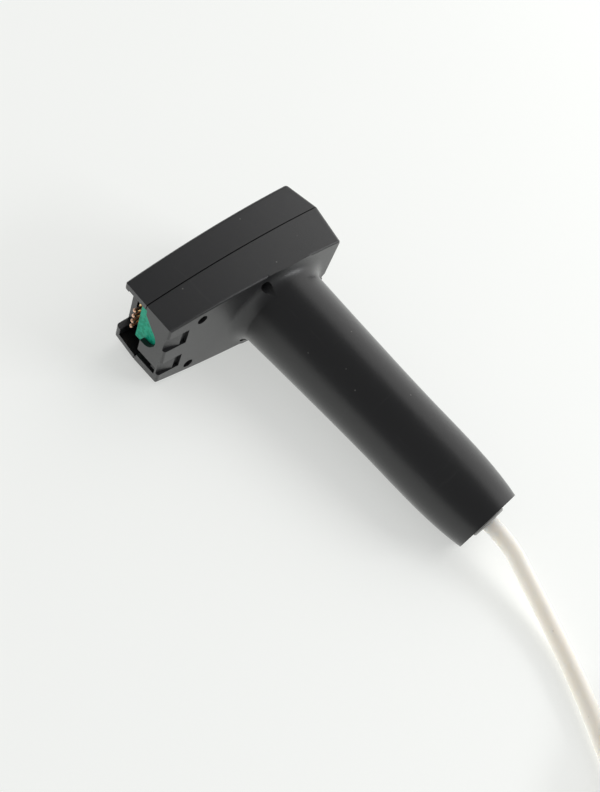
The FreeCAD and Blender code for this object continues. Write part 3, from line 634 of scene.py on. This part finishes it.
@dataclass(frozen=True)
class BoardLaminate(Finish):
    """Green solder mask over copper, with raised tracks at the edges of square cells.

    Attributes:
        cells: track cells per metre.
        unevenness: how far the cells stray from a grid.
        track_edge: distances from a cell's middle at which a track starts and is full.
        track_tone: colour of the mask over a track.
        track_share: how far a track goes to that colour.
        track_height: of a track, in metres.
        track_strength: of its relief.
    """

    cells: float = 420.0
    unevenness: float = 0.55
    track_edge: tuple[float, float] = (0.62, 0.7)
    track_tone: Colour = (0.02, 0.42, 0.27)
    track_share: float = 0.5
    track_height: float = 0.00004
    track_strength: float = 0.8

    def build(self, effects: Effects) -> bpy.types.Material:
        """Make the material.

        Args:
            effects: the shared node groups.

        Returns:
            The material.
        """
        material, n, shader = self.start()
        mask = self.tone(n, effects)
        inputs = {"Vector": n.place(), "Scale": self.cells, "Randomness": self.unevenness}
        cells = n.add("TexVoronoi", inputs, distance="MANHATTAN", feature="F1")
        track = n.remap(cells.outputs["Distance"], self.track_edge, (0.0, 1.0))
        base = n.blend(mask, (*self.dark, 1.0), (*self.light, 1.0))
        colour = n.blend(n.maths("MULTIPLY", track, self.track_share), base, (*self.track_tone, 1.0))
        n.tree.links.new(colour, shader.inputs["Base Color"])
        n.tree.links.new(n.remap(mask, (0.0, 1.0), self.rough), shader.inputs["Roughness"])
        bump = n.add("Bump", {
            "Height": track, "Distance": self.track_height, "Strength": self.track_strength,
        })
        n.tree.links.new(bump.outputs[0], shader.inputs["Normal"])
        return material


class Slot(Enum):
    """The record's material slots."""

    HOUSING = "housing_plastic"
    SCREW = "screw_steel"
    LAMINATE = "green_laminate"
    TINNED = "tinned_metal"
    CHIP = "chip_epoxy"
    CAN = "capacitor_can"
    CARRIER = "contact_carrier"
    BRASS = "contact_brass"
    COPPER = "contact_copper"
    GROMMET = "grommet_rubber"
    SHEATH = "cable_sheath"
    TIE = "tie_nylon"
    CONNECTOR = "connector_nylon"
    PLUG_METAL = "plug_metal"
    SPRING = "spring_steel"
    CORE_RED = "core_red"
    CORE_BLACK = "core_black"
    CORE_WHITE = "core_white"
    CORE_GREEN = "core_green"


FINISHES: dict[Slot, Finish] = {
    Slot.HOUSING: HousingPlastic(
        "housing_black_plastic", (0.011, 0.0112, 0.012), (0.015, 0.0152, 0.0162), rough=(0.36, 0.44),
        grain_scale=3600.0, grain_depth=0.00003, drift_scale=22.0, specular=0.45, dust=0.03, streaks=0.12,
    ),
    Slot.SCREW: Finish(
        "screw_zinc_plate", (0.28, 0.27, 0.25), (0.42, 0.42, 0.41), rough=(0.32, 0.5), metallic=1.0,
        grain_scale=6000.0, grain_depth=0.000006, drift_scale=600.0,
    ),
    Slot.LAMINATE: BoardLaminate(
        "board_green_mask", (0.0, 0.2, 0.12), (0.0, 0.28, 0.165), rough=(0.4, 0.5), drift_scale=120.0,
        specular=0.12,
    ),
    Slot.TINNED: Finish(
        "tinned_lead", (0.62, 0.62, 0.6), (0.78, 0.78, 0.77), rough=(0.2, 0.4), metallic=1.0,
        grain_scale=5000.0, grain_depth=0.000008, drift_scale=700.0,
    ),
    Slot.CHIP: Finish(
        "chip_epoxy", (0.018, 0.018, 0.018), (0.035, 0.034, 0.033), rough=(0.5, 0.65),
        grain_scale=9000.0, grain_depth=0.00001, drift_scale=200.0,
    ),
    Slot.CAN: Finish(
        "capacitor_can", (0.5, 0.5, 0.52), (0.68, 0.68, 0.7), rough=(0.25, 0.4), metallic=1.0,
        grain_scale=4000.0, grain_depth=0.000005, drift_scale=300.0,
    ),
    Slot.CARRIER: Finish(
        "contact_carrier_plastic", (0.02, 0.02, 0.022), (0.035, 0.035, 0.037), rough=(0.5, 0.6),
        grain_scale=7000.0, grain_depth=0.00001, drift_scale=150.0,
    ),
    Slot.BRASS: Finish(
        "contact_barrel_brass", (0.55, 0.36, 0.14), (0.75, 0.53, 0.24), rough=(0.2, 0.38), metallic=1.0,
        grain_scale=9000.0, grain_depth=0.000004, drift_scale=900.0,
    ),
    Slot.COPPER: Finish(
        "contact_copper", (0.42, 0.22, 0.13), (0.85, 0.58, 0.43), rough=(0.18, 0.42), metallic=1.0,
        grain_scale=9000.0, grain_depth=0.000006, drift_scale=1100.0,
    ),
    Slot.GROMMET: Finish(
        "grommet_grey_rubber", (0.24, 0.24, 0.235), (0.34, 0.335, 0.32), rough=(0.55, 0.7),
        grain_scale=5000.0, grain_depth=0.00001, drift_scale=160.0,
    ),
    Slot.SHEATH: CableSheath(
        "cable_sheath_vinyl", (0.8, 0.765, 0.71), (0.85, 0.815, 0.76), rough=(0.36, 0.5),
        grain_scale=2500.0, grain_depth=0.000008, drift_scale=55.0, dust=0.03, streaks=0.1,
    ),
    Slot.TIE: Finish(
        "tie_black_nylon", (0.05, 0.05, 0.05), (0.09, 0.09, 0.09), rough=(0.4, 0.55),
        grain_scale=4000.0, grain_depth=0.00002, drift_scale=150.0,
    ),
    Slot.CONNECTOR: Finish(
        "connector_nylon", (0.66, 0.64, 0.58), (0.78, 0.76, 0.7), rough=(0.4, 0.55),
        grain_scale=6000.0, grain_depth=0.000008, drift_scale=180.0,
    ),
    Slot.PLUG_METAL: Finish(
        "plug_nickel", (0.52, 0.51, 0.48), (0.66, 0.65, 0.62), rough=(0.2, 0.34), metallic=1.0,
        grain_scale=5000.0, grain_depth=0.000005, drift_scale=120.0, streaks=0.3,
    ),
    Slot.SPRING: Finish(
        "spring_wire", (0.4, 0.4, 0.41), (0.6, 0.6, 0.61), rough=(0.25, 0.4), metallic=1.0,
        grain_scale=9000.0, grain_depth=0.000003, drift_scale=800.0,
    ),
    Slot.CORE_RED: Finish("core_red_vinyl", (0.42, 0.015, 0.015), (0.6, 0.03, 0.03), rough=(0.3, 0.42)),
    Slot.CORE_BLACK: Finish(
        "core_black_vinyl", (0.015, 0.015, 0.015), (0.03, 0.03, 0.03), rough=(0.3, 0.42),
    ),
    Slot.CORE_WHITE: Finish("core_white_vinyl", (0.66, 0.66, 0.64), (0.8, 0.8, 0.78), rough=(0.3, 0.42)),
    Slot.CORE_GREEN: Finish("core_green_vinyl", (0.01, 0.2, 0.05), (0.03, 0.33, 0.09), rough=(0.3, 0.42)),
}


class Wardrobe:
    """Builds each finish once and puts it on pieces by slot."""

    def __init__(self, effects: Effects) -> None:
        """Build every finish.

        Args:
            effects: the shared node groups.
        """
        self.materials = {slot.value: finish.build(effects) for slot, finish in FINISHES.items()}

    def dress_frame(self, frame: dict[str, Any]) -> None:
        """Give every CAD node the finish of its slot.
        """
        for part in frame["record"]["subparts"]:
            node = frame["nodes"][part["node"]]
            node.data.materials.clear()
            node.data.materials.append(self.materials[part["material_slot"]])
            LOG.info("dressed %s as %s", part["node"], part["material_slot"])

    def dress(self, piece: bpy.types.Object, slot: Slot) -> None:
        """Give a new piece the finish of its slot and a ride on the handset.

        Args:
            piece: the new object.
            slot: the finish that it takes.
        """
        piece.data.materials.clear()
        piece.data.materials.append(self.materials[slot.value])
        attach(piece, BODY)
        LOG.info("made %s", piece.name)


# --------------------------------------------------------------------------------------------
# studio
# --------------------------------------------------------------------------------------------
@dataclass(frozen=True)
class SoftBox:
    """A soft rectangular light.

    Attributes:
        name: the light's name.
        place: its position in metres.
        size: width and height in metres.
        power: in watts.
        colour: its colour.
        aim: the point that it faces.
    """

    name: str
    place: tuple[float, float, float]
    size: tuple[float, float]
    power: float
    colour: Colour
    aim: tuple[float, float, float] = (0.0, 0.0, 0.02)

    def build(self) -> None:
        """Put the light into the scene."""
        data = bpy.data.lights.new(self.name, "AREA")
        data.shape = "RECTANGLE"
        data.size, data.size_y = self.size
        data.energy = self.power
        data.color = self.colour
        light = link(data, self.name)
        facing = (Vector(self.aim) - Vector(self.place)).to_track_quat("-Z", "Y")
        light.matrix_world = Matrix.Translation(self.place) @ facing.to_matrix().to_4x4()


@dataclass
class Studio:
    """Floor, soft light and camera.

    Attributes:
        camera_place: camera position in metres.
        azimuth, elevation, roll: camera angles in degrees; azimuth 0 looks along +Y.
        lens: focal length in mm.
        long_side: of the camera's picture, in mm.
        floor_half: half the floor's side in metres.
        floor_lines: grid lines across the floor.
        floor_tones: darkest and lightest tone of the floor.
        floor_tint: colour of the light that comes up through it.
        floor_glow: light that comes up through the floor, which is a light table, as seen directly.
        floor_bounce: the same light as it falls on the handset and shows in its gloss.
        sky: brightness of the surroundings.
        sky_tint: their colour.
        lights: the soft boxes.
    """

    camera_place: tuple[float, float, float] = (-0.22343, -0.09341, 0.29333)
    azimuth: float = -65.10
    elevation: float = 49.43
    roll: float = 25.03
    lens: float = 42.108
    long_side: float = 36.0
    floor_half: float = 2.5
    floor_lines: int = 9
    floor_tones: tuple[Colour, Colour] = ((0.49, 0.495, 0.485), (0.51, 0.515, 0.505))
    floor_tint: Colour = (0.985, 1.0, 0.975)
    floor_glow: float = 0.5
    floor_bounce: float = 0.95
    sky: float = 0.42
    sky_tint: Colour = (0.985, 0.99, 1.0)
    lights: tuple[SoftBox, ...] = (
        SoftBox("window_softbox", (1.47, -0.13, 1.03), (2.4, 2.4), 24.0, (1.0, 0.995, 0.98)),
        SoftBox("strip_softbox", (0.64, -0.84, 0.56), (0.6, 0.2), 4.6, (0.97, 0.985, 1.0)),
    )

    def add_camera(self) -> bpy.types.Object:
        """Make the camera, which looks down its own -Z: back = (sin a cos e, -cos a cos e, sin e), rolled.

        Returns:
            The camera.
        """
        a, e, r = (math.radians(v) for v in (self.azimuth, self.elevation, self.roll))
        back = Vector((math.sin(a) * math.cos(e), -math.cos(a) * math.cos(e), math.sin(e)))
        level = Vector((math.cos(a), math.sin(a), 0.0))
        right = Matrix.Rotation(r, 3, back) @ level
        turn = Matrix((right, back.cross(right), back)).transposed().to_4x4()
        data = bpy.data.cameras.new("studio_camera")
        data.lens = self.lens
        data.sensor_width = self.long_side
        data.clip_start = 10 * MM
        camera = link(data, "studio_camera")
        camera.matrix_world = Matrix.Translation(self.camera_place) @ turn
        bpy.context.scene.camera = camera
        return camera

    def add_floor(self, effects: Effects) -> None:
        """Make the pale floor: point(u, v) = (u, v, 0).

        Args:
            effects: the shared node groups.
        """
        line = np.linspace(-self.floor_half, self.floor_half, self.floor_lines)
        u, v = np.meshgrid(line, line, indexing="ij")
        floor = surface("studio_floor", np.stack([u, v, np.zeros_like(u)], axis=-1), (False, False))
        finish = Finish("floor_board", *self.floor_tones, rough=(0.5, 0.6), grain_scale=900.0,
                        grain_depth=0.00001, drift_scale=3.0, specular=0.08)
        board = finish.build(effects)
        shader = next(x for x in board.node_tree.nodes if x.type == "BSDF_PRINCIPLED")
        shader.inputs["Emission Color"].default_value = (*self.floor_tint, 1.0)
        n = Nodes(board.node_tree)
        seen = n.add("LightPath").outputs["Is Camera Ray"]
        glow = n.remap(seen, (0.0, 1.0), (self.floor_bounce, self.floor_glow))
        n.tree.links.new(glow, shader.inputs["Emission Strength"])
        floor.data.materials.append(board)

    def add_sky(self) -> None:
        """Even pale surroundings."""
        world = bpy.data.worlds.new("studio_sky")
        world.use_nodes = True
        background = world.node_tree.nodes["Background"]
        background.inputs["Color"].default_value = (*self.sky_tint, 1.0)
        background.inputs["Strength"].default_value = self.sky
        bpy.context.scene.world = world

    def build(self, effects: Effects) -> None:
        """Make the floor, the surroundings and the lights.

        Args:
            effects: the shared node groups.
        """
        self.add_floor(effects)
        self.add_sky()
        for light in self.lights:
            light.build()
        bpy.context.scene.view_settings.view_transform = "Standard"


# --------------------------------------------------------------------------------------------
# cable
# --------------------------------------------------------------------------------------------
@dataclass
class Cable:
    """The free cable: a droop to the floor, a run on it, a tied coil and a short tail to the plug.

    Attributes:
        radius: of the sheath, in metres.
        exit_place: where the cable leaves the grommet, in the handset's coordinates, in mm.
        first_run: straight start out of the grommet, in mm.
        route: points between the grommet and the coil, in mm.
        centre: middle of the coil, in mm.
        turn_radii: outer and inner column of turns, in mm.
        layup: turn at which each stretch starts, its column (0 outer, 1 inner) and its layer; the
            last row is past the end.
        whole_turns: turns before the last part of a turn.
        crossing: share of a turn over which the cable moves to the next column or layer.
        floor_level: level of the lowest turns' underside, in mm.
        per_turn: points in a turn.
        start_angle: where the coil starts, in degrees.
        end_angle: where the last turn lets go, in degrees.
        tail: angle in degrees, radius and level in mm of the points after the coil.
    """

    radius: float = 0.0035
    exit_place: tuple[float, float, float] = (0.0, -140.7, 0.0)
    first_run: float = 11.0
    route: tuple[tuple[float, float, float], ...] = (
        (10.3, -102.0, 10.6), (7.6, -113.5, 7.4), (4.0, -125.0, 4.9), (-1.0, -137.0, 3.8),
        (-8.0, -149.5, 3.6), (-17.2, -164.0, 3.6), (-26.8, -179.5, 3.9), (-34.7, -192.9, 4.5),
    )
    centre: tuple[float, float] = (5.0, -214.0)
    turn_radii: tuple[float, float] = (45.0, 38.0)
    layup: tuple[tuple[float, int, int], ...] = (
        (0.0, 0, 0), (1.0, 1, 0), (2.0, 1, 1), (3.0, 0, 1),
        (4.0, 0, 2), (4.25, 1, 2), (5.25, 0, 2), (9.0, 0, 2),
    )
    whole_turns: int = 5
    crossing: float = 0.22
    floor_level: float = 1.0
    per_turn: int = 16
    start_angle: float = 152.0
    end_angle: float = 278.0
    tail: tuple[tuple[float, float, float], ...] = (
        (296.0, 48.5, 18.0), (315.0, 54.0, 14.6), (332.0, 57.5, 10.6),
        (348.0, 58.5, 8.6), (364.0, 58.5, 8.1),
    )

    def coil_points(self) -> np.ndarray:
        """Turns of the coil.

        Stretch k keeps a column and a layer, and moves to the next one's over its last part of a
        turn: radius and level follow a smooth step, and the angle grows evenly.

        Returns:
            Array of points in mm, per_turn to a turn.
        """
        marks, column, layer = np.array(self.layup).T
        columns = np.array(self.turn_radii)[column.astype(int)]
        thick = 2 * self.radius / MM
        levels = self.floor_level + thick * (layer + 0.5)
        total = self.whole_turns + (self.end_angle - self.start_angle) / 360
        s = np.arange(1, round(total * self.per_turn) + 1) / self.per_turn
        k = np.clip(np.searchsorted(marks, s, side="right") - 1, 0, len(columns) - 2)
        until = marks[k + 1] - s
        move = np.clip(1 - until / self.crossing, 0.0, 1.0)
        move = move * move * (3 - 2 * move)
        radius = columns[k] + (columns[k + 1] - columns[k]) * move
        level = levels[k] + (levels[k + 1] - levels[k]) * move
        angle = np.radians(self.start_angle + 360 * s)
        cx, cy = self.centre
        return np.stack([cx + radius * np.cos(angle), cy + radius * np.sin(angle), level], axis=-1)

    def tail_points(self) -> np.ndarray:
        """Turn the tail's angles, radii and levels into points in mm."""
        angle, reach, level = np.array(self.tail).T
        angle = np.radians(angle)
        cx, cy = self.centre
        return np.stack([cx + reach * np.cos(angle), cy + reach * np.sin(angle), level], axis=-1)

    def points(self, axes: HandsetAxes, exit_point: np.ndarray) -> np.ndarray:
        """Lay out the spline's control points.

        Args:
            axes: the handset's axes.
            exit_point: where the cable leaves the grommet, in metres.

        Returns:
            Array of points in metres.
        """
        first = exit_point - axes.turn[:, 1] * self.first_run * MM
        body = np.vstack([np.array(self.route), self.coil_points(), self.tail_points()]) * MM
        return np.vstack([exit_point, first, body])

    def build(self, axes: HandsetAxes, wardrobe: Wardrobe, mates: Sequence[bpy.types.Object]
              ) -> bpy.types.Object:
        """Make the cable as one NURBS line with the sheath's thickness.

        Args:
            axes: the handset's axes.
            wardrobe: the finishes.
            mates: pieces that are on the cable; not used.

        Returns:
            The cable.
        """
        exit_point = axes.place(self.exit_place)
        points = self.points(axes, exit_point)
        curve = bpy.data.curves.new("cable_free_run", "CURVE")
        curve.dimensions = "3D"
        curve.bevel_depth = self.radius
        curve.bevel_resolution = 7
        curve.use_fill_caps = True
        spline = curve.splines.new("NURBS")
        spline.points.add(len(points) - 1)
        spline.points.foreach_set("co", np.hstack([points, np.ones((len(points), 1))]).ravel())
        spline.order_u = 3
        spline.use_endpoint_u = True
        spline.resolution_u = 8
        cable = link(curve, "cable_outside")
        wardrobe.dress(cable, Slot.SHEATH)
        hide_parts("cable_free", "cable_coil", "cable_tail")
        return cable


# --------------------------------------------------------------------------------------------
# plug
# --------------------------------------------------------------------------------------------
@dataclass
class PlugBoot:
    """Ribbed boot of the round plug, turned about its axis; sizes in mm.

    Attributes:
        start_radius, end_radius: at the cable and at the plug.
        length: of the boot.
        ribs: number of grooves round it.
        ribbed: shares of the length between which the grooves lie.
        groove_depth: of a groove.
        steps: points along the boot.
    """

    start_radius: float = 4.3
    end_radius: float = 6.4
    length: float = 24.0
    ribs: int = 7
    ribbed: tuple[float, float] = (0.08, 0.72)
    groove_depth: float = 0.75
    steps: int = 160

    def turn(self, start: np.ndarray, along: np.ndarray) -> bpy.types.Object:
        """Make the boot: its radius is a straight taper less a row of rounded grooves.

        Args:
            start: middle of its cable end, in metres.
            along: unit vector towards the plug.

        Returns:
            The boot.
        """
        s = np.linspace(0.0, 1.0, self.steps)
        first, last = self.ribbed
        taper = self.start_radius + (self.end_radius - self.start_radius) * s
        wave = 0.5 - 0.5 * np.cos(2 * math.pi * self.ribs * (s - first) / (last - first))
        grooves = np.where((s > first) & (s < last), wave, 0)
        radius = taper - self.groove_depth * grooves ** 2
        body = np.stack([s * self.length, radius], axis=-1)
        profile = np.vstack([[0.0, 0.0], body, [self.length, 0.0]])
        return turned("plug_boot_ribbed", profile, start, along)

    def build(self, cable: Cable, wardrobe: Wardrobe) -> bpy.types.Object:
        """Make the boot level at the cable's end, in the direction in which the cable arrives.

        Args:
            cable: the cable, whose tail the plug continues.
            wardrobe: the finishes.

        Returns:
            The boot.
        """
        before, end = cable.tail_points()[-2:]
        along = (end - before) * (1.0, 1.0, 0.0)
        boot = self.turn(end * MM, along / np.linalg.norm(along))
        wardrobe.dress(boot, Slot.GROMMET)
        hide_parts("plug_boot")
        return boot


# --------------------------------------------------------------------------------------------
# contact springs
# --------------------------------------------------------------------------------------------
@dataclass
class ContactSprings:
    """Coil springs behind the spring contacts, which shorten as a contact is pushed in; here each keeps one
    length. Sizes in mm.

    Attributes:
        count: number of contacts.
        front, back: where the wire's middle starts and ends along a barrel.
        level: height of the contacts above the parting plane.
        first, pitch: place of the first contact across the open end, and the step to the next.
        mean_radius, wire_radius: of the coil and of its wire.
        turns: number of turns.
        stroke: how far a contact slides.
        steps, sides: points along one turn and round the wire.
    """

    count: int = 4
    front: float = -48.42
    back: float = -42.13
    level: float = 8.6
    first: float = 1.6
    pitch: float = 3.4
    mean_radius: float = 0.7
    wire_radius: float = 0.12
    turns: int = 9
    stroke: float = 1.5
    steps: int = 24
    sides: int = 10

    def coil(self, name: str, across: float, axes: HandsetAxes) -> bpy.types.Object:
        """Make one spring: a round wire, closed at both ends, about a helix.

        With a = 2 pi turns s and n = (0, cos a, sin a), the surface is
        point(s, t) = (front + s length, level, across) + mean n + w(s) (cos t x + sin t n).

        Args:
            name: the piece's name.
            across: the contact's place across the open end.
            axes: the handset's axes.

        Returns:
            The spring.
        """
        s = np.linspace(0.0, 1.0, self.turns * self.steps + 1)
        s = np.concatenate([s[:1], s, s[-1:]])
        wire = np.full(s.shape, self.wire_radius)
        wire[[0, -1]] = 0.0
        a = 2 * math.pi * self.turns * s
        out = np.stack([np.zeros_like(a), np.cos(a), np.sin(a)], axis=-1)
        along = np.array([1.0, 0.0, 0.0])
        middle = np.array([self.front, self.level, across]) + self.mean_radius * out
        middle += ((self.back - self.front) * s)[:, None] * along
        t = np.linspace(0.0, 2 * math.pi, self.sides, endpoint=False)[None, :, None]
        ring = np.cos(t) * along + np.sin(t) * out[:, None, :]
        points = middle[:, None, :] + wire[:, None, None] * ring
        piece = surface(name, axes.place(points), (False, True))
        merge(piece)
        return piece

    def build(self, axes: HandsetAxes, wardrobe: Wardrobe) -> list[bpy.types.Object]:
        """Make the springs.

        Args:
            axes: the handset's axes.
            wardrobe: the finishes.

        Returns:
            The springs.
        """
        springs = []
        for number in range(1, self.count + 1):
            across = self.first - self.pitch * (number - 1)
            spring = self.coil(f"contact_coil_{number}", across, axes)
            wardrobe.dress(spring, Slot.SPRING)
            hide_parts(f"contact_spring_{number}")
            anchor = axes.place([self.back + self.wire_radius, self.level, across])
            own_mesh(spring)
            springs.append(spring)
        return springs


# --------------------------------------------------------------------------------------------
# main
# --------------------------------------------------------------------------------------------
def main() -> None:
    """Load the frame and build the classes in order."""
    logging.basicConfig(level=logging.INFO, format="%(message)s")
    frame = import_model()
    effects = Effects()
    studio = Studio()
    studio.add_camera()
    axes = HandsetAxes(frame)
    wardrobe = Wardrobe(effects)
    wardrobe.dress_frame(frame)
    ContactSprings().build(axes, wardrobe)
    cable = Cable()
    boot = PlugBoot().build(cable, wardrobe)
    on_cable = [frame["nodes"][n] for n in ("coil_ties", "plug_shell", "plug_insulator", "plug_pins")]
    cable.build(axes, wardrobe, [boot, *on_cable])
    studio.build(effects)


if __name__ == "__main__":
    main()
